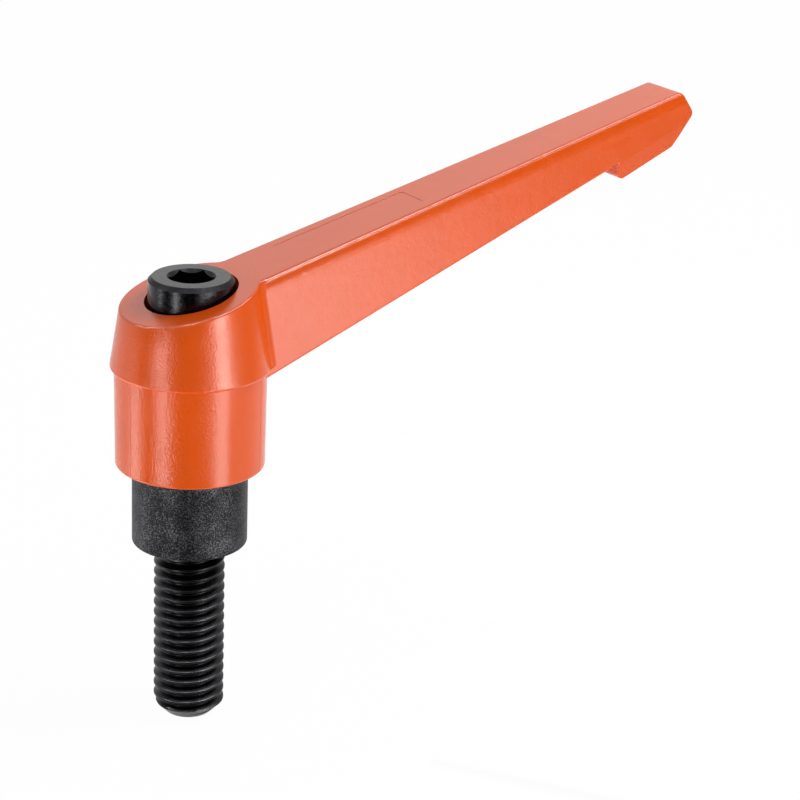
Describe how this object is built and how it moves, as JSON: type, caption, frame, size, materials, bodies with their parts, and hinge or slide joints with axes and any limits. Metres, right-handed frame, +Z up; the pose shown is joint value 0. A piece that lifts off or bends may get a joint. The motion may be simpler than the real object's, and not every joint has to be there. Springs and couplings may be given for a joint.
{
  "type": "adjustable clamping lever",
  "caption": "Lever handle on a toothed collar with a threaded stud: lifted against its spring it turns to a new angle, released it clamps.",
  "frame": {"origin": "centre of the insert's lower end face, the ring that presses on the clamped part, on the stud's axis", "axes": "+Z up the turning axis, away from the stud's tip; +X along the arm, towards its nose; +Y to the arm's left"},
  "size_m": [0.075, 0.0176, 0.0654],
  "materials": {
    "powder_coated_zinc": "semi-gloss orange powder coat on a zinc die casting",
    "blackened_sintered_steel": "blackened, finely grained sintered steel",
    "black_oxide_stud_steel": "smooth black oxide on a rolled thread",
    "black_oxide_screw_steel": "satin black oxide on a cold-headed screw",
    "spring_steel": "bright drawn spring wire"
  },
  "bodies": {
    "clamping_core": {"serrated_insert": "blackened_sintered_steel", "threaded_stud": "black_oxide_stud_steel", "retaining_screw": "black_oxide_screw_steel"},
    "spring_seat": {"return_spring": "spring_steel"},
    "handle": {"handle": "powder_coated_zinc"}
  },
  "joints": [
    {"name": "handle_turn", "type": "hinge", "parent": "clamping_core", "child": "spring_seat", "pos_m": [0, 0, 0], "axis": [0, 0, 1], "continuous": true},
    {"name": "handle_lift", "type": "slide", "parent": "spring_seat", "child": "handle", "axis": [0, 0, 1], "range_m": [0, 0.0032], "stiffness_N_per_m": 2000, "springref_m": -0.003, "deforming": ["return_spring"]}
  ]
}
